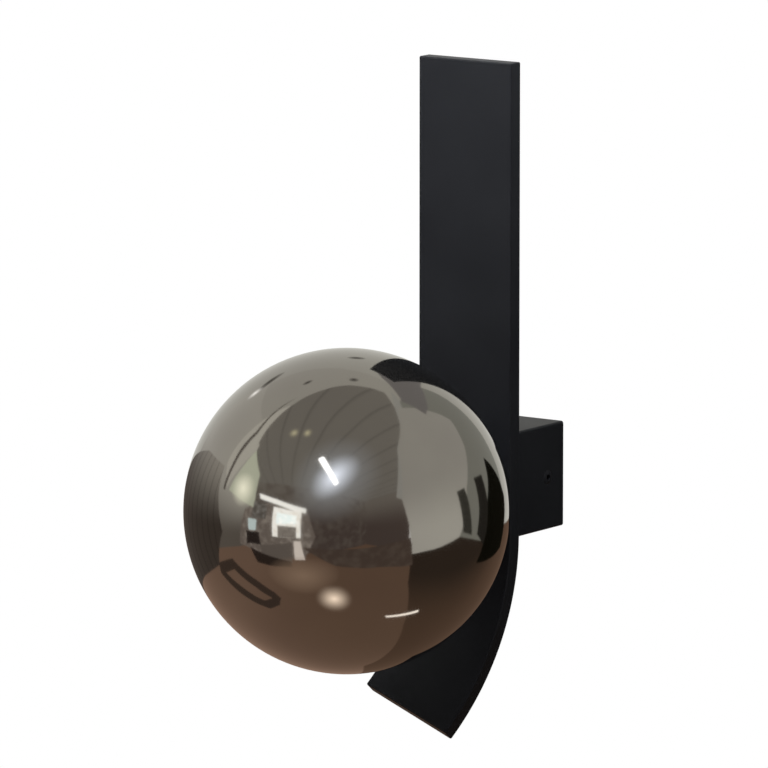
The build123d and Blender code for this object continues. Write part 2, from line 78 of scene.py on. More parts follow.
def addNode(tree, kind, values=None, links=None, **settings):
    node = tree.nodes.new(kind)
    for name, value in settings.items():
        setattr(node, name, value)
    for name, value in (values or {}).items():
        node.inputs[name].default_value = value
    for name, source in (links or {}).items():
        tree.links.new(source, node.inputs[name])
    return node


def linearColour(hexText):
    parts = [int(hexText[i:i + 2], 16) / 255 for i in (1, 3, 5)]
    return tuple(p / 12.92 if p <= 0.04045 else ((p + 0.055) / 1.055) ** 2.4 for p in parts) + (1.0,)


def addObject(name, mesh):
    data = bpy.data.meshes.new(name)
    mesh.to_mesh(data)
    mesh.free()
    thing = bpy.data.objects.new(name, data)
    scene.collection.objects.link(thing)
    return thing


def emptyMaterial(name):
    material = bpy.data.materials.new(name)
    material.use_nodes = True
    material.node_tree.nodes.clear()
    return material, material.node_tree


studio = {
    "ambient": "#f0f3f8",
    "ambientStrength": 0.28,
    "floorHalf": 1.6,  # metres, half a side
    "floorHeight": -0.75,
    "floorWhite": 0.86,  # how much plain white the eye sees in place of the lit paint
}

# white for the eye and for gloss and glass, a softer grey for the light it gives
world = bpy.data.worlds.new("studio")
scene.world = world
world.use_nodes = True
worldTree = world.node_tree
worldTree.nodes.clear()
lightPath = addNode(worldTree, "ShaderNodeLightPath")
eyeOrGloss = addNode(worldTree, "ShaderNodeMath", operation="MAXIMUM",
                     links={0: lightPath.outputs["Is Camera Ray"], 1: lightPath.outputs["Is Glossy Ray"]})
showsWhite = addNode(worldTree, "ShaderNodeMath", operation="MAXIMUM",
                     links={0: eyeOrGloss.outputs[0], 1: lightPath.outputs["Is Transmission Ray"]})
ambient = addNode(worldTree, "ShaderNodeBackground",
                  {"Color": linearColour(studio["ambient"]), "Strength": studio["ambientStrength"]})
white = addNode(worldTree, "ShaderNodeBackground", {"Color": (1, 1, 1, 1), "Strength": 1.0})
skyMix = addNode(worldTree, "ShaderNodeMixShader",
                 links={0: showsWhite.outputs[0], 1: ambient.outputs[0], 2: white.outputs[0]})
addNode(worldTree, "ShaderNodeOutputWorld", links={"Surface": skyMix.outputs[0]})

softLamps = {
    "overhead": {"place": (-0.14, -0.2, 0.42), "size": 0.25, "watts": 4.8},
    "left": {"place": (-1.1, -1.7, 0.9), "size": 1.4, "watts": 3},
    "right": {"place": (0.2, -0.1, 0.4), "size": 0.15, "watts": 2},
}
for name, spec in softLamps.items():
    light = bpy.data.lights.new(name, "AREA")
    light.size = spec["size"]
    light.energy = spec["watts"]
    lamp = bpy.data.objects.new(name, light)
    scene.collection.objects.link(lamp)
    lamp.location = spec["place"]
    lamp.rotation_euler = (lamp.location - Vector(camera["target"])).to_track_quat("Z", "Y").to_euler()
    lamp.visible_glossy = False
    lamp.visible_camera = False

globe = {
    "radius": 75 * mm,
    "depth": 141.5 * mm,
    "wall": 2.2 * mm,
    "neckRadius": 18.9 * mm,
    "neckStart": 58 * mm,
    "arcSteps": 84,
    "spinSteps": 144,
    "rimRound": 0.8 * mm,
    "thread": {"core": 18.8 * mm, "height": 0.9 * mm, "pitch": 3 * mm, "start": 59.6 * mm, "turns": 2.2},
}
globeCentre = Vector((0, -globe["depth"], 0))


def onlyGloss(thing):
    thing.visible_camera = False
    thing.visible_diffuse = False
    thing.visible_shadow = False


cardLook = {
    "patchFrom": 0.45,  # where the noise starts to turn to the patch colour, and where it has
    "patchTo": 0.7,
    "patchDetail": 3.0,
    "slatBend": 0.4,
    "slatDetail": 1.0,
    "slatGap": 0.16,  # share of a slat's pitch
    "glowSides": 32,
    "glowFade": 1.6,
}
mixFirst, mixSecond, mixResult = 6, 7, 2  # colour sockets of a Mix node, whose names repeat


# glowing cards round the globe, which is a mirror, that paint the room reflected in it: painted reflection,
# pale for reflected light and dark for reflected shade; plain, faded, mottled or slatted, and only gloss sees
# them
def hangReflectionCard(name, spec):
    mesh = bmesh.new()
    corners = spec.get("corners")
    if not corners:
        corners = [globeCentre + direction(*angles) * spec["distance"] for angles in spec["angles"]]
    face = mesh.faces.new([mesh.verts.new(corner) for corner in corners])
    if "strip" in spec:  # an open loop in place of a full card
        mesh.normal_update()
        bmesh.ops.inset_region(mesh, faces=[face], thickness=spec["strip"], use_boundary=True)
        bmesh.ops.delete(mesh, geom=[face], context="FACES")
    card = addObject(name, mesh)
    material, tree = emptyMaterial(name + " card")
    glow = addNode(tree, "ShaderNodeEmission",
                   {"Color": linearColour(spec["colour"]), "Strength": spec.get("strength", 1.0)})
    place = addNode(tree, "ShaderNodeTexCoord").outputs["Object"]
    tint = None
    # the fade paints shading into the reflection: the card turns darker towards one end
    if "fade" in spec:  # from the card's colour to another one, along an axis between two places
        axis, start, end, otherColour = spec["fade"]
        split = addNode(tree, "ShaderNodeSeparateXYZ", links={"Vector": place})
        along = addNode(tree, "ShaderNodeMapRange", {"From Min": start, "From Max": end},
                        {"Value": split.outputs[axis]}, interpolation_type="SMOOTHSTEP")
        shades = addNode(tree, "ShaderNodeValToRGB", links={"Fac": along.outputs[0]})
        shades.color_ramp.elements[0].color = linearColour(spec["colour"])
        shades.color_ramp.elements[1].color = linearColour(otherColour)
        tint = shades.outputs["Color"]
    if "mottle" in spec:  # soft patches of another colour over it
        patch, patchColour = spec["mottle"]
        patches = addNode(tree, "ShaderNodeTexNoise", {"Scale": 1 / patch, "Detail": cardLook["patchDetail"]},
                          {"Vector": place})
        spread = addNode(tree, "ShaderNodeMapRange",
                         {"From Min": cardLook["patchFrom"], "From Max": cardLook["patchTo"]},
                         {"Value": patches.outputs["Fac"]})
        mixed = addNode(tree, "ShaderNodeMix",
                        {mixFirst: linearColour(spec["colour"]), mixSecond: linearColour(patchColour)},
                        {0: spread.outputs[0]}, data_type="RGBA")
        if tint:
            tree.links.new(tint, mixed.inputs[mixFirst])
        tint = mixed.outputs[mixResult]
    if tint:
        tree.links.new(tint, glow.inputs["Color"])
    if "slats" in spec:
        scale, axis, gap = spec["slats"]
        bend, detail = cardLook["slatBend"], cardLook["slatDetail"]
        slats = addNode(tree, "ShaderNodeTexWave", {"Scale": scale, "Distortion": bend, "Detail": detail},
                        {"Vector": place}, bands_direction=axis, wave_profile="SAW")
        tone = addNode(tree, "ShaderNodeMapRange",
                       {"From Max": cardLook["slatGap"], "To Min": gap, "To Max": 1.0},
                       {"Value": slats.outputs["Fac"]})
        tree.links.new(tone.outputs[0], glow.inputs["Strength"])
    addNode(tree, "ShaderNodeOutputMaterial", links={"Surface": glow.outputs[0]})
    card.data.materials.append(material)
    onlyGloss(card)


# round glowing spots with soft edges, seen only by gloss: painted highlights in the globe's reflection, and
# dark ones that paint dark spots into it
def hangReflectionGlow(name, spec):
    mesh = bmesh.new()
    bmesh.ops.create_circle(mesh, cap_ends=True, segments=cardLook["glowSides"], radius=1.0)
    glowCard = addObject(name, mesh)
    aim = direction(spec["azimuth"], spec["elevation"])
    glowCard.location = globeCentre + aim * spec["distance"]
    roll = Matrix.Rotation(math.radians(spec.get("roll", 0)), 3, "Z")
    glowCard.rotation_euler = (aim.to_track_quat("Z", "Y").to_matrix() @ roll).to_euler()
    glowCard.scale = (spec["width"] / 2, spec["height"] / 2, 1)
    material, tree = emptyMaterial(name + " glow")
    place = addNode(tree, "ShaderNodeTexCoord")
    fade = addNode(tree, "ShaderNodeTexGradient", links={"Vector": place.outputs["Object"]},
                   gradient_type="SPHERICAL")
    soft = addNode(tree, "ShaderNodeMath", {1: spec.get("fade", cardLook["glowFade"])},
                   {0: fade.outputs["Fac"]}, operation="POWER")
    clear = addNode(tree, "ShaderNodeBsdfTransparent")
    light = addNode(tree, "ShaderNodeEmission",
                    {"Color": linearColour(spec["colour"]), "Strength": spec["strength"]})
    mix = addNode(tree, "ShaderNodeMixShader",
                  links={0: soft.outputs[0], 1: clear.outputs[0], 2: light.outputs[0]})
    addNode(tree, "ShaderNodeOutputMaterial", links={"Surface": mix.outputs[0]})
    glowCard.data.materials.append(material)
    onlyGloss(glowCard)


# heights and depths of the painted reflection cards that stand round the globe, in metres
surround = {"low": 0.95, "high": 2.2, "base": -0.74, "back": 1.3, "front": -2.25, "left": -1.6, "right": 2.4}


def level(height, *places):
    return [(x, y, height) for x, y in places]


def upright(start, end, low, high):
    return [(*start, low), (*end, low), (*end, high), (*start, high)]


backLeft, backRight = (-3, surround["back"]), (3, surround["back"])
frontLeft, frontRight = (surround["left"], surround["front"]), (surround["right"], surround["front"])
# each card paints a patch of the room reflected in the globe: the pale and bright ones are painted reflected
# light, and the dark ones, the flags among them, are painted reflected shade; they cast no light on matt
# surfaces and no shadow
reflectionCards = {
    "paleBack": {"corners": upright(backLeft, backRight, -0.28, 3), "colour": "#d6d5ce"},
    "paleTop": {"corners": level(surround["high"], (-3, -3), (3, -3), backRight, backLeft),
                "colour": "#cfcdc6"},
    "paleLeft": {"corners": upright(backLeft, frontLeft, -0.9, surround["high"]), "colour": "#7d766f",
                 "fade": ("Z", -0.5, 0.6, "#d9d7d0")},
    "slattedTop": {"corners": level(surround["low"], (-1.1, -1), (-0.6, -0.4), (-0.15, 0.1), (0.1, 0.25),
                                    (0.35, 0.15), (0.9, -0.1), (3.2, -1.05), (3.2, surround["front"]),
                                    frontLeft),
                   "colour": "#9a9690", "slats": (1.2, "X", 0.7)},
    "darkFront": {"corners": upright(frontLeft, frontRight, -0.9, surround["low"]), "colour": "#665a55",
                  "fade": ("Z", -0.1, surround["low"], "#938d86"), "mottle": (0.22, "#7c736c")},
    "darkEnd": {"corners": upright(frontRight, (surround["right"], -0.6), -0.9, surround["low"]),
                "colour": "#665a55", "fade": ("Z", -0.1, surround["low"], "#938d86")},
    "warmBase": {"corners": level(surround["base"], (-3, surround["front"]), (3, surround["front"]),
                                  (3, 4), (-3, 4)),
                 "colour": "#967b6a", "fade": ("X", -0.9, 0.25, "#846b5a")},
    "darkBase": {"corners": level(surround["base"] + 0.005, (2, -0.45), (0.9, -0.2), (0.3, 0.05),
                                  (-0.3, 0.4), (-3, 4), (3, 4), (3, -0.6)),
                 "colour": "#6b5546", "fade": ("X", 0.15, 1.2, "#443931")},
    "lowDark": {"angles": [(5, -15), (80, -10), (85, -28), (50, -35), (20, -25)], "distance": 1.6,
                "colour": "#665850", "mottle": (0.15, "#75685f")},
    "greyRight": {"angles": [(75, 50), (135, 65), (180, 40), (180, -15), (120, -12)], "distance": 1.5,
                  "colour": "#a3a49d"},
    "paleRight": {"angles": [(75, 15), (86, 46), (135, 63), (160, 30), (130, 10), (120, -12), (82, -20)],
                  "distance": 1.1, "colour": "#e8e7e0", "fade": ("Z", -0.15, 0.4, "#c9c7c1")},
    "narrowDarkReflection": {"angles": [(119, 11), (127, 11), (131, -12), (122, -10)], "distance": 0.85,
                   "colour": "#4a4943"},
    "wideDarkReflection": {"angles": [(140, 12), (150, 10), (150, -18), (137, -12)], "distance": 0.85,
                 "colour": "#33312d"},
    "blackReflection": {"angles": [(162, 12), (180, -5), (178, -16), (145, -24), (150, 0)], "distance": 0.8,
                  "colour": "#16150f"},
    "topShade": {"angles": [(-160, 50), (-157, 30), (-160, 20), (180, 40), (155, 46), (145, 48), (150, 60),
                            (-170, 56)],
                 "distance": 1.0, "colour": "#959292"},
    "topEdge": {"angles": [(170, 62), (145, 65), (86, 47), (71, 17), (76, 15), (93, 44), (150, 61)],
                "distance": 1.3, "colour": "#c6c6c2"},
    "paleWedge": {"angles": [(-50, 35), (-35, 25), (-32, 6), (-57, 10)], "distance": 1.5, "colour": "#d2d8c6",
                  "strength": 1.5},
    "greyGround": {"angles": [(-45, -15), (-40, 5), (-18, 11), (8, 8), (14, -8), (5, -24)], "distance": 1.9,
                   "colour": "#7f7670", "strength": 1.4, "mottle": (0.12, "#a9a19a")},
    "whiteSlope": {"angles": [(-30, 15), (7, 10), (7, 7), (-28, 12)], "distance": 1.4, "colour": "#f2f5f5",
                   "strength": 2.7},
    "whitePanel": {"angles": [(-17, 9), (4, 8), (4, -9), (-17, -9)], "distance": 1.5, "colour": "#f2f5f5",
                   "strength": 2.7, "mottle": (0.05, "#d9d4cc")},
    "coolPanel": {"angles": [(-14, 6), (1, 5), (1, 0), (-14, -1)], "distance": 1.45, "colour": "#dcebf0",
                  "strength": 3.2, "mottle": (0.06, "#ffffff")},
    "greyPanel": {"angles": [(-13, -2), (1, -2), (1, -9), (-13, -9)], "distance": 1.45, "colour": "#a8a19b",
                  "strength": 1.3, "mottle": (0.05, "#8b847e")},
    "smallPanel": {"angles": [(-36, 0), (-29, 0), (-29, -6), (-36, -6)], "distance": 1.45,
                   "colour": "#cfe2e6", "strength": 1.9},
    "greyShade": {"angles": [(-33, 10), (-22, 9), (-22, 1), (-33, 1)], "distance": 1.45, "colour": "#77726d",
                  "strength": 1.1, "mottle": (0.06, "#a8a6a2")},
    "darkBlock": {"angles": [(-38, -7), (-26, -7), (-26, -15), (-38, -15)], "distance": 1.2,
                  "colour": "#3e3633"},
    "greyBlock": {"angles": [(-27, -15), (-2, -12), (-4, -26), (-27, -21)], "distance": 1.25,
                  "colour": "#877e78"},
    "lowShadow": {"angles": [(-35, -17), (-5, -25), (-5, -29), (-32, -25)], "distance": 1.2,
                  "colour": "#3f3530"},
    "gleam": {"angles": [(-1, -11), (4, -11), (6, -24), (-2, -24)], "distance": 1.4, "colour": "#f0e8e2",
              "strength": 1.7},
    "darkLoop": {"angles": [(-72, -24), (-55, -23), (-40, -35), (-29, -44), (-27, -48), (-34, -52),
                            (-48, -52), (-66, -39), (-75, -28)],
                 "distance": 0.9, "strip": 0.085, "colour": "#54473f"},
    "slattedLeft": {"angles": [(-135, -8), (-97, 12), (-70, 18), (-60, -10), (-73, -25), (-135, -16)],
                    "distance": 1.0, "colour": "#554d47", "fade": ("Z", -0.15, 0.35, "#c8c4bc"),
                    "slats": (2.6, "Y", 0.5)},
    "palePanel": {"angles": [(-60, 10), (-70, 20), (-75, 60), (-60, 50), (-50, 35)], "distance": 1.55,
                  "colour": "#e2e0d8", "strength": 1.15},
    "panelEdge": {"angles": [(-61, 9), (-63, 40), (-88, 62), (-66, 40), (-63, 9)], "distance": 1.45,
                  "colour": "#6e6862"},
    "whiteTube": {"angles": [(10, 44), (14, 46), (30, 29), (27, 27)], "distance": 0.85, "colour": "#f4f8ff",
                  "strength": 6},
    "lowBar": {"angles": [(82, -62), (112, -53), (115, -54), (85, -63)], "distance": 0.6, "colour": "#fff8f0",
               "strength": 2.6},
}
for name, spec in reflectionCards.items():
    hangReflectionCard(name, spec)

# painted highlights in the globe's reflection, and dark dots of painted reflected shade; the tube ones paint
# the halo round a reflected tube light
reflectionGlows = {
    "tubeHalo": {"azimuth": 26, "elevation": 33, "distance": 0.9, "width": 0.7, "height": 0.42, "roll": 45,
                 "colour": "#ccd6e8", "strength": 4.2},
    "tubeBloom": {"azimuth": 26, "elevation": 32, "distance": 0.92, "width": 1.3, "height": 1.0, "roll": 45,
                  "colour": "#bcc2cb", "strength": 1.3, "fade": 1.4},
    "lowSpot": {"azimuth": 24, "elevation": -51, "distance": 0.7, "width": 0.28, "height": 0.28,
                "colour": "#ffecd9", "strength": 2.8, "fade": 1.8},
    "baseGlow": {"azimuth": 2, "elevation": -34, "distance": 0.85, "width": 0.75, "height": 0.4,
                 "colour": "#c0a48e", "strength": 1.0, "fade": 0.9},
    "topGlowLeft": {"azimuth": -29, "elevation": 55, "distance": 0.9, "width": 0.11, "height": 0.11,
                    "colour": "#f2ecc8", "strength": 1.4},
    "topGlowRight": {"azimuth": -15, "elevation": 59, "distance": 0.9, "width": 0.11, "height": 0.11,
                     "colour": "#f2ecc8", "strength": 1.4},
    "wedgeGlow": {"azimuth": -45, "elevation": 14, "distance": 1.4, "width": 0.5, "height": 0.45,
                  "colour": "#f4f6e4", "strength": 2.5, "fade": 1.1},
    "darkDotA": {"azimuth": -148, "elevation": 35, "distance": 1.0, "width": 0.09, "height": 0.09,
                 "colour": "#3c3833", "strength": 1.0, "fade": 0.6},
    "darkDotB": {"azimuth": -153, "elevation": 67, "distance": 0.9, "width": 0.07, "height": 0.07,
                 "colour": "#3c3833", "strength": 1.0, "fade": 0.6},
    "darkDotC": {"azimuth": -112, "elevation": 59, "distance": 0.9, "width": 0.08, "height": 0.05,
                 "colour": "#3c3833", "strength": 1.0, "fade": 0.6},
    "darkDotD": {"azimuth": -117, "elevation": 33, "distance": 1.0, "width": 0.2, "height": 0.09,
                 "colour": "#4b463f", "strength": 1.0, "fade": 0.6},
    "whiteDot": {"azimuth": -110, "elevation": 31, "distance": 0.98, "width": 0.12, "height": 0.12,
                 "colour": "#ffffff", "strength": 2.4},
}
for name, spec in reflectionGlows.items():
    hangReflectionGlow(name, spec)

floorMesh = bmesh.new()
bmesh.ops.create_grid(floorMesh, x_segments=1, y_segments=1, size=studio["floorHalf"])
bmesh.ops.translate(floorMesh, verts=floorMesh.verts, vec=(0, 0, studio["floorHeight"]))
floor = addObject("floor", floorMesh)
floorPaint, floorTree = emptyMaterial("pale floor paint")
paint = addNode(floorTree, "ShaderNodeBsdfDiffuse", {"Color": linearColour("#f0efec")})
paper = addNode(floorTree, "ShaderNodeEmission", {"Color": (1, 1, 1, 1), "Strength": 1.0})
floorPath = addNode(floorTree, "ShaderNodeLightPath")
seen = addNode(floorTree, "ShaderNodeMath", {1: studio["floorWhite"]},
               {0: floorPath.outputs["Is Camera Ray"]}, operation="MULTIPLY")
floorMix = addNode(floorTree, "ShaderNodeMixShader",
                   links={0: seen.outputs[0], 1: paint.outputs[0], 2: paper.outputs[0]})
addNode(floorTree, "ShaderNodeOutputMaterial", links={"Surface": floorMix.outputs[0]})
floor.data.materials.append(floorPaint)
print("light, backdrop and floor set")


noiseLook = {
    "low": 0.3,  # the noise is at its first shade and gloss below this, and at its second above the next
    "high": 0.7,
    "patchDetail": 3.0,
    "grainDetail": 2.0,
    "bumpStrength": 0.5,
}


# a surface in two shades, with patches that change its gloss and a fine relief; sizes are in metres
def makeFinish(name, shades, patch, gloss, grain, relief, uniform=None):
    material = bpy.data.materials.new(name)
    material.use_nodes = True
    tree = material.node_tree
    shader = tree.nodes["Principled BSDF"]
    for inputName, value in (uniform or {}).items():
        shader.inputs[inputName].default_value = value
    place = addNode(tree, "ShaderNodeTexCoord").outputs["Object"]
    low, high = noiseLook["low"], noiseLook["high"]
    patches = addNode(tree, "ShaderNodeTexNoise", {"Scale": 1 / patch, "Detail": noiseLook["patchDetail"]},
                      {"Vector": place})
    colour = addNode(tree, "ShaderNodeValToRGB", links={"Fac": patches.outputs["Fac"]})
    for element, shade, position in zip(colour.color_ramp.elements, shades, (low, high)):
        element.color = linearColour(shade)
        element.position = position
    rough = addNode(tree, "ShaderNodeMapRange",
                    {"From Min": low, "From Max": high, "To Min": gloss[0], "To Max": gloss[1]},
                    {"Value": patches.outputs["Fac"]})
    grains = addNode(tree, "ShaderNodeTexNoise", {"Scale": 1 / grain, "Detail": noiseLook["grainDetail"]},
                     {"Vector": place})
    bump = addNode(tree, "ShaderNodeBump", {"Strength": noiseLook["bumpStrength"], "Distance": relief},
                   {"Height": grains.outputs["Fac"]})
    tree.links.new(colour.outputs["Color"], shader.inputs["Base Color"])
    tree.links.new(rough.outputs[0], shader.inputs["Roughness"])
    tree.links.new(bump.outputs["Normal"], shader.inputs["Normal"])
    return material


metal = {"Metallic": 1.0}
finishes = {
    # polyester powder, sprayed and baked: satin, with the faint orange peel that the cure leaves
    "black_coat": makeFinish("powder coated steel, satin black", ("#131417", "#17181b"), 40 * mm,
                             (0.38, 0.46), 0.9 * mm, 0.03 * mm, {"Specular IOR Level": 0.12}),
    # blown glass, metallised and smoked: a dark mirror whose skin swells a little, as blown glass does
    "smoked_mirror_glass": makeFinish("metallised smoked glass, blown", ("#96918c", "#9f9b94"), 60 * mm,
                                      (0.05, 0.08), 38 * mm, 0.5 * mm,
                                      {"Metallic": 1.0, "Coat Weight": 0.3, "Coat Roughness": 0.05}),
    # zinc plate, passivated: cool grey with a cloudy sheen
    "zinc_steel": makeFinish("zinc plated steel, passivated", ("#a5a9ac", "#c8cac8"), 6 * mm, (0.28, 0.46),
                             0.4 * mm, 0.015 * mm, metal),
    # brass, turned: bright, a little darker where it has been handled
    "brass": makeFinish("brass, turned", ("#b8934c", "#d9b76c"), 4 * mm, (0.2, 0.36), 0.3 * mm, 0.01 * mm,
                        metal),
    # nitrile rubber, moulded: matt black with a fine tool grain
    "black_rubber": makeFinish("nitrile rubber, moulded", ("#141414", "#212120"), 3 * mm, (0.55, 0.7),
                               0.5 * mm, 0.03 * mm),
    # steatite, pressed and fired: off-white and matt, with a gritty skin
    "steatite": makeFinish("steatite ceramic, fired", ("#d8d2c4", "#ebe7dc"), 2 * mm, (0.5, 0.62),
                           0.6 * mm, 0.04 * mm),
    # nylon, moulded in its natural colour: milky, with a soft sheen
    "nylon": makeFinish("nylon, moulded", ("#dcdcd6", "#ecece8"), 8 * mm, (0.38, 0.46), 0.8 * mm, 0.01 * mm,
                        {"Subsurface Weight": 0.2, "Subsurface Scale": 0.002}),
    # heat-proof polymer, moulded: glossy white with hardly any flow marks
    "lamp_housing": makeFinish("heat-proof polymer, moulded", ("#e6e6e2", "#f1f1ee"), 10 * mm, (0.2, 0.28),
                               1.5 * mm, 0.008 * mm),
    # borosilicate tube, drawn: clear, with a faint draw line
    "clear_glass": makeFinish("borosilicate glass, drawn", ("#f4f7f7", "#fafbfb"), 12 * mm, (0.01, 0.03),
                              3 * mm, 0.01 * mm, {"Transmission Weight": 1.0, "IOR": 1.47}),
    # silicone loaded with phosphor, cast over each diode: matt yellow
    "diode_phosphor": makeFinish("phosphor silicone, cast", ("#e2b93a", "#f0cf5a"), 1 * mm, (0.45, 0.55),
                                 0.3 * mm, 0.01 * mm),
    # silicone insulation, extruded: a soft sheen on a coloured skin
    "lead_brown": makeFinish("brown silicone insulation, extruded", ("#3a2414", "#4a2f1c"), 3 * mm,
                             (0.4, 0.5), 0.5 * mm, 0.01 * mm),
    "lead_blue": makeFinish("blue silicone insulation, extruded", ("#1c4a8c", "#2a5ba0"), 3 * mm,
                            (0.4, 0.5), 0.5 * mm, 0.01 * mm),
    "lead_green": makeFinish("green silicone insulation, extruded", ("#4c7a1e", "#7d9a22"), 2 * mm,
                             (0.4, 0.5), 0.5 * mm, 0.01 * mm),
}
slotOf = {part["node"]: part["material_slot"] for part in frame["record"]["subparts"]}
bodies = frame["record"]["behaviour"]["bodies"]
bodyOf = {nodeName: body for body, names in bodies.items() for nodeName in names}
for nodeName, node in nodes.items():
    node.data.materials.clear()
    node.data.materials.append(finishes[slotOf[nodeName]])
print("materials made")


edgeAngle = 30  # degrees, past which two faces meet in an edge and don't shade as one
steepAngle = 40  # for shapes with cut holes or from the CAD, whose round faces are coarser
mergeDistance = 0.001 * mm


# the piece takes the place, the body and the material of the CAD node it stands for
def finishPiece(name, mesh, nodeName):
    piece = addObject(name, mesh)
    piece.data.shade_smooth()
    piece.data.set_sharp_from_angle(angle=math.radians(edgeAngle))
    piece.data.materials.append(finishes[slotOf[nodeName]])
    flats = piece.modifiers.new("flats", "WEIGHTED_NORMAL")  # keeps flat faces flat beside rounded edges
    flats.keep_sharp = True
    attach(piece, bodyOf[nodeName])
    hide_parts(nodeName)
    return piece


def sharpEdges(mesh, degrees):
    limit = math.radians(degrees)
    return [edge for edge in mesh.edges if len(edge.link_faces) == 2 and edge.calc_face_angle(0) > limit]


def roundEdges(mesh, radius, segments=2, degrees=edgeAngle):
    bmesh.ops.bevel(mesh, geom=sharpEdges(mesh, degrees), offset=radius, segments=segments, profile=0.5,
                    affect="EDGES", material=-1, clamp_overlap=True)


# shapes turned or stacked along the holder's axis are made with Z as the depth from the wall
depthToRoom = Matrix.Rotation(math.pi / 2, 4, "X")


def faceRoom(mesh):
    bmesh.ops.transform(mesh, matrix=depthToRoom, verts=mesh.verts)
    return mesh


def spinRound(mesh, steps):
    bmesh.ops.spin(mesh, geom=list(mesh.verts) + list(mesh.edges), cent=(0, 0, 0), axis=(0, 0, 1),
                   angle=2 * math.pi, steps=steps, use_merge=True)
    bmesh.ops.remove_doubles(mesh, verts=mesh.verts, dist=mergeDistance)
    bmesh.ops.recalc_face_normals(mesh, faces=mesh.faces)


# a solid turned from corners of radius and depth; one that starts off the axis is a ring
def turned(corners, steps=96):
    mesh = bmesh.new()
    points = [mesh.verts.new((radius, 0, depth)) for radius, depth in corners]
    isRing = corners[0][0] > 0
    for first, second in zip(points, points[1:] + points[:1] if isRing else points[1:]):
        mesh.edges.new((first, second))
    spinRound(mesh, steps)
    return mesh


def quarterArc(centre, radius, start, steps=8):
    angles = [math.radians(start + 90 * step / steps) for step in range(steps + 1)]
    return [(centre[0] + radius * math.cos(a), centre[1] + radius * math.sin(a)) for a in angles]


# cuts one solid with another; both are used up
def combine(mesh, tool, operation="DIFFERENCE"):
    block, cutter = addObject("block", mesh), addObject("cutter", tool)
    modifier = block.modifiers.new("cut", "BOOLEAN")
    modifier.operation = operation
    modifier.solver = "EXACT"
    modifier.object = cutter
    evaluated = block.evaluated_get(bpy.context.evaluated_depsgraph_get())
    result = bmesh.new()
    result.from_mesh(evaluated.to_mesh())
    evaluated.to_mesh_clear()
    for thing in (block, cutter):
        data = thing.data
        bpy.data.objects.remove(thing)
        bpy.data.meshes.remove(data)
    return result


threadForm = {"foot": 0.42, "crest": 0.12, "sunk": 0.1 * mm}  # half widths are shares of the pitch


# a helical ridge on a cylinder, or inside a bore where the height is negative
def addThread(mesh, spec, stepsPerTurn=48):
    foot, crest = spec["pitch"] * threadForm["foot"], spec["pitch"] * threadForm["crest"]
    sunk = -math.copysign(threadForm["sunk"], spec["height"])
    outline = [(sunk, -foot), (spec["height"], -crest), (spec["height"], crest), (sunk, foot)]
    corners = [mesh.verts.new((spec["core"] + rise, 0, spec["start"] + along)) for rise, along in outline]
    face = mesh.faces.new(corners)
    steps = round(spec["turns"] * stepsPerTurn)
    bmesh.ops.spin(mesh, geom=[face], cent=(0, 0, 0), axis=(0, 0, 1), angle=2 * math.pi * spec["turns"],
                   steps=steps, dvec=(0, 0, spec["pitch"] * spec["turns"] / steps))
    bmesh.ops.recalc_face_normals(mesh, faces=mesh.faces)


def prism(sides, radius, start, end, turn=0.0):
    mesh = bmesh.new()
    bmesh.ops.create_cone(mesh, cap_ends=True, segments=sides, radius1=radius, radius2=radius,
                          depth=end - start)
    bmesh.ops.rotate(mesh, verts=mesh.verts, matrix=Matrix.Rotation(math.radians(turn), 3, "Z"))
    bmesh.ops.translate(mesh, verts=mesh.verts, vec=(0, 0, (start + end) / 2))
    return mesh


def makeGlobe():
    mesh = bmesh.new()
    pole = mesh.verts.new((0, 0, globe["depth"] + globe["radius"]))
    arcAngle = math.pi - math.asin(globe["neckRadius"] / globe["radius"])
    bmesh.ops.spin(mesh, geom=[pole], cent=(0, 0, globe["depth"]), axis=(0, 1, 0), angle=arcAngle,
                   steps=globe["arcSteps"])
    shoulder = min(mesh.verts, key=lambda vert: vert.co.z)
    neckEnd = bmesh.ops.extrude_vert_indiv(mesh, verts=[shoulder])["verts"][0]
    neckEnd.co.z = globe["neckStart"]
    spinRound(mesh, globe["spinSteps"])
    bmesh.ops.solidify(mesh, geom=list(mesh.faces), thickness=globe["wall"])
    roundEdges(mesh, globe["rimRound"], 3, 50)
    bmesh.ops.recalc_face_normals(mesh, faces=mesh.faces)
    addThread(mesh, globe["thread"])
    return finishPiece("globe", faceRoom(mesh), "glass_globe")


makeGlobe()
print("globe made")

plate = {
    "width": 52 * mm,
    "thickness": 8 * mm,
    "back": 38 * mm,
    "top": 199 * mm,
    "bendStart": -23 * mm,
    "bendRadius": 147 * mm,  # to the back right edge
    "bendAngle": 40.5,
    "bendHeading": 30,  # degrees to the left of straight forward
    "bendSteps": 56,
    "edgeRound": 0.8 * mm,
}
clearanceRadius = 5.25 * mm
clearanceSides = 64


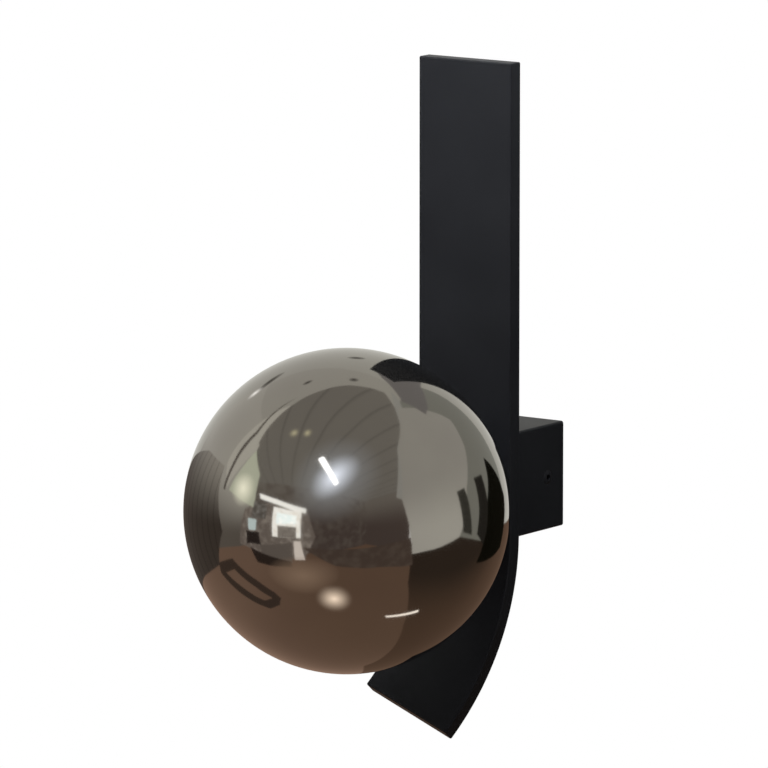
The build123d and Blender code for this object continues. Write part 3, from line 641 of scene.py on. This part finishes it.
def makePlate():
    mesh = bmesh.new()
    bmesh.ops.create_grid(mesh, x_segments=1, y_segments=1, size=0.5)
    bmesh.ops.scale(mesh, verts=mesh.verts, vec=(plate["width"], plate["thickness"], 1))
    middle = plate["back"] + plate["thickness"] / 2
    bmesh.ops.translate(mesh, verts=mesh.verts, vec=(0, -middle, plate["bendStart"]))
    raised = bmesh.ops.extrude_face_region(mesh, geom=list(mesh.faces))["geom"]
    raisedVerts = [item for item in raised if isinstance(item, bmesh.types.BMVert)]
    bmesh.ops.translate(mesh, verts=raisedVerts, vec=(0, 0, plate["top"] - plate["bendStart"]))
    foot = min(mesh.faces, key=lambda face: face.calc_center_median().z)
    heading = math.radians(plate["bendHeading"])
    way = Vector((-math.sin(heading), -math.cos(heading), 0))
    corner = Vector((plate["width"] / 2, -plate["back"], plate["bendStart"]))
    bmesh.ops.spin(mesh, geom=[foot] + list(foot.edges) + list(foot.verts),
                   cent=corner + way * plate["bendRadius"], axis=(way.y, -way.x, 0),
                   angle=math.radians(plate["bendAngle"]), steps=plate["bendSteps"])
    bmesh.ops.recalc_face_normals(mesh, faces=mesh.faces)
    roundEdges(mesh, plate["edgeRound"], 4)
    front = plate["back"] + plate["thickness"]
    drill = faceRoom(prism(clearanceSides, clearanceRadius, plate["back"] - mm, front + mm))
    return finishPiece("plate", combine(mesh, drill), "curved_plate")


makePlate()
print("plate made")

box = {
    "size": 50 * mm,
    "depth": 38 * mm,
    "wall": 1.5 * mm,
    "cornerRound": 1.2 * mm,
    "screwDepth": 13 * mm,
    "holeRadius": 2.2 * mm,
    "sinkRadius": 3.6 * mm,
    "holeRound": 0.2 * mm,
}


# local Z runs in from the outside of the box through a side screw
def sideFrame(side, distance):
    turn = Matrix.Rotation(-side * math.pi / 2, 4, "Y")
    return Matrix.Translation((side * distance, -box["screwDepth"], 0)) @ turn


def makeBox():
    mesh = bmesh.new()
    bmesh.ops.create_cube(mesh, size=1)
    bmesh.ops.scale(mesh, verts=mesh.verts, vec=(box["size"], box["depth"], box["size"]))
    bmesh.ops.translate(mesh, verts=mesh.verts, vec=(0, -box["depth"] / 2, 0))
    openSide = max(mesh.faces, key=lambda face: face.calc_center_median().y)
    bmesh.ops.delete(mesh, geom=[openSide], context="FACES_ONLY")
    roundEdges(mesh, box["cornerRound"], 4)
    bmesh.ops.recalc_face_normals(mesh, faces=mesh.faces)
    bmesh.ops.solidify(mesh, geom=list(mesh.faces), thickness=box["wall"])
    bmesh.ops.recalc_face_normals(mesh, faces=mesh.faces)
    hole, sink, reach = box["holeRadius"], box["sinkRadius"], 3 * mm
    profile = [(0, -reach), (sink, -reach), (sink, 0), (hole, sink - hole), (hole, reach), (0, reach)]
    for side in (-1, 1):
        drill = turned(profile, 48)
        bmesh.ops.transform(drill, matrix=sideFrame(side, box["size"] / 2), verts=drill.verts)
        mesh = combine(mesh, drill)
    drill = faceRoom(prism(clearanceSides, clearanceRadius, box["depth"] - reach, box["depth"] + reach))
    mesh = combine(mesh, drill)
    roundEdges(mesh, box["holeRound"], 2, steepAngle)
    return finishPiece("back-box", mesh, "back_box")


makeBox()

sideScrew = {
    "crown": 0.6 * mm,
    "crownCurve": [(0, 1), (0.45, 0.8), (0.8, 0.36), (1, 0)],  # shares of the head's radius and the crown
    "headRadius": 3.5 * mm,
    "headEdge": 0.15 * mm,
    "headHeight": 1.9 * mm,
    "shank": 1.6 * mm,
    "length": 8 * mm,
    "point": 0.4 * mm,
    "socket": 2.5 * mm,  # across flats
    "socketDepth": 1.3 * mm,
    "inset": 0.1 * mm,
    "thread": {"core": 1.6 * mm, "height": 0.3 * mm, "pitch": 0.7 * mm, "start": 2.6 * mm, "turns": 7},
}


def makeSideScrews():
    both = bmesh.new()
    head, shank, length = sideScrew["headRadius"], sideScrew["shank"], sideScrew["length"]
    point = sideScrew["point"]
    profile = [(out * head, -rise * sideScrew["crown"]) for out, rise in sideScrew["crownCurve"]]
    profile += [(head, sideScrew["headEdge"]), (shank, sideScrew["headHeight"]), (shank, length - point),
                (shank - point, length), (0, length)]
    headPlace = box["size"] / 2 - sideScrew["inset"]
    for side in (-1, 1):
        socket = prism(6, sideScrew["socket"] / math.sqrt(3), -mm, sideScrew["socketDepth"], 30)
        screw = combine(turned(profile, 48), socket)
        roundEdges(screw, 0.1 * mm, 2, 25)
        addThread(screw, sideScrew["thread"], 24)
        bmesh.ops.transform(screw, matrix=sideFrame(side, headPlace), verts=screw.verts)
        data = bpy.data.meshes.new("side screw")
        screw.to_mesh(data)
        screw.free()
        both.from_mesh(data)
        bpy.data.meshes.remove(data)
    return finishPiece("side-screws", both, "side_screws")


makeSideScrews()
print("box and side screws made")

cup = {"radius": 24 * mm, "wall": 1.5 * mm, "start": 46 * mm, "mouth": 66.5 * mm, "corner": 3 * mm,
       "edgeRound": 0.3 * mm}
rimSteps = 120


def makeCup():
    arcCentre = (cup["radius"] - cup["corner"], cup["start"] + cup["corner"])
    outerArc = quarterArc(arcCentre, cup["corner"], -90)
    innerArc = quarterArc(arcCentre, cup["corner"] - cup["wall"], -90)
    inner = cup["radius"] - cup["wall"]
    mouth = [(cup["radius"], cup["mouth"]), (inner, cup["mouth"])]
    corners = ([(clearanceRadius, cup["start"])] + outerArc + mouth + innerArc[::-1]
               + [(clearanceRadius, cup["start"] + cup["wall"])])
    mesh = turned(corners, rimSteps)
    roundEdges(mesh, cup["edgeRound"], 2, 60)
    return finishPiece("holder-cup", faceRoom(mesh), "holder_cup")


makeCup()

ring = {"inner": 20.2 * mm, "outer": 22.5 * mm, "start": 57 * mm, "end": 65 * mm, "chamfer": 0.5 * mm,
        "thread": {"core": 20.2 * mm, "height": -0.4 * mm, "pitch": 3 * mm, "start": 58.6 * mm, "turns": 1.6}}


def makeThreadRing():
    corners = [(ring["inner"], ring["start"]), (ring["outer"], ring["start"]), (ring["outer"], ring["end"]),
               (ring["inner"] + ring["chamfer"], ring["end"]), (ring["inner"], ring["end"] - ring["chamfer"])]
    mesh = turned(corners, rimSteps)
    addThread(mesh, ring["thread"])
    return finishPiece("thread-ring", faceRoom(mesh), "thread_ring")


makeThreadRing()

nipple = {"bore": 3.5 * mm, "core": 4.5 * mm, "start": 29 * mm, "end": 54.3 * mm, "chamfer": 0.3 * mm,
          "thread": {"core": 4.5 * mm, "height": 0.4 * mm, "pitch": 1 * mm, "start": 30 * mm, "turns": 23.4}}


def makeNipple():
    bore, core, start, end, chamfer = (nipple[key] for key in ("bore", "core", "start", "end", "chamfer"))
    corners = [(bore, start), (core - chamfer, start), (core, start + chamfer), (core, end - chamfer),
               (core - chamfer, end), (bore, end)]
    mesh = turned(corners, 48)
    addThread(mesh, nipple["thread"], 32)
    return finishPiece("threaded-nipple", faceRoom(mesh), "threaded_nipple")


makeNipple()

nuts = {
    "rear_nut": {"start": 31.7 * mm, "end": 35.7 * mm, "turn": 30},
    "front_nut": {"start": 49.8 * mm, "end": 53.3 * mm, "turn": 0},
}
nutForm = {
    "flats": 14 * mm,
    "bore": 4.9 * mm,
    "face": 0.48,  # radius of the flat face, as a share of the flats
    "fall": 0.9 * mm,
    "sink": 0.5 * mm,
    "steps": 72,
}


# a hexagon nut whose corners are turned to a cone at both faces
def makeNut(nodeName, spec):
    corner, start, end = nutForm["flats"] / math.sqrt(3), spec["start"], spec["end"]
    face, fall = nutForm["flats"] * nutForm["face"], nutForm["fall"]
    past = corner + 0.5 * mm
    cone = turned([(0, start), (face, start), (past, start + fall), (past, end - fall), (face, end),
                   (0, end)], nutForm["steps"])
    mesh = combine(prism(6, corner, start, end, spec["turn"]), cone, "INTERSECT")
    bore, sink = nutForm["bore"], nutForm["sink"]
    mouth = bore + sink + mm
    drill = turned([(0, start - mm), (mouth, start - mm), (bore, start + sink), (bore, end - sink),
                    (mouth, end + mm), (0, end + mm)], nutForm["steps"])
    mesh = combine(mesh, drill)
    return finishPiece(nodeName.replace("_", "-"), faceRoom(mesh), nodeName)


for nodeName, spec in nuts.items():
    makeNut(nodeName, spec)
print("cup, ring, nipple and nuts made")

# punched, moulded and pressed pieces keep their CAD shape and get the soft edge of the real process
softened = {
    "wall_bracket": {"round": 0.25 * mm},
    "cable_bush": {"round": 0.25 * mm},
    "holder_strap": {"round": 0.2 * mm},
    "front_washer": {"round": 0.15 * mm},
    "lamp_holder": {"round": 0.25 * mm},
    "terminal_block": {"round": 0.2 * mm},
    "neck_gasket": {"round": 0.2 * mm},
    "earth_lug": {"round": 0.15 * mm},
    "holder_screws": {"round": 0.1 * mm, "places": [(-12.2, 0), (12.2, 0)], "top": 60.8,
                      "slot": (0.8, 0.9, 6)},
    "terminal_screws": {"round": 0.08 * mm,
                        "places": [(x, -12.2 + z) for x in (-8, 0, 8) for z in (-2.5, 2.5)],
                        "top": 14.2, "slot": (0.5, 0.6, 4)},
    "block_screws": {"round": 0.08 * mm, "places": [(-4, -12.2), (4, -12.2)], "top": 11.2,
                     "slot": (0.4, 0.5, 1.6), "cross": True},
    "earth_screw": {"round": 0.1 * mm, "places": [(12, 13)], "top": 5.0, "slot": (0.8, 1.0, 3.6),
                    "cross": True},
}
slotTurns, crossTurns = (20,), (45, 135)  # degrees, as the screwdriver left them


# the sunk slot or cross that a screwdriver takes, in millimetres
def cutDrive(mesh, spec):
    width, deep, length = spec["slot"]
    for x, z in spec["places"]:
        for turn in crossTurns if spec.get("cross") else slotTurns:
            blade = bmesh.new()
            bmesh.ops.create_cube(blade, size=1)
            bmesh.ops.scale(blade, verts=blade.verts, vec=(length, 2 * deep, width))
            bmesh.ops.rotate(blade, verts=blade.verts, matrix=Matrix.Rotation(math.radians(turn), 3, "Y"))
            bmesh.ops.translate(blade, verts=blade.verts, vec=(x, -spec["top"], z))
            bmesh.ops.scale(blade, verts=blade.verts, vec=(mm, mm, mm))
            mesh = combine(mesh, blade)
    return mesh


for nodeName, spec in softened.items():
    mesh = bmesh.new()
    mesh.from_mesh(nodes[nodeName].data)
    bmesh.ops.remove_doubles(mesh, verts=mesh.verts, dist=mergeDistance)
    if "places" in spec:
        mesh = cutDrive(mesh, spec)
    bmesh.ops.dissolve_limit(mesh, angle_limit=math.radians(1), verts=mesh.verts, edges=mesh.edges)
    roundEdges(mesh, spec["round"], 2, steepAngle)
    finishPiece(nodeName.replace("_", "-"), mesh, nodeName)
print("edges softened and screw heads cut")
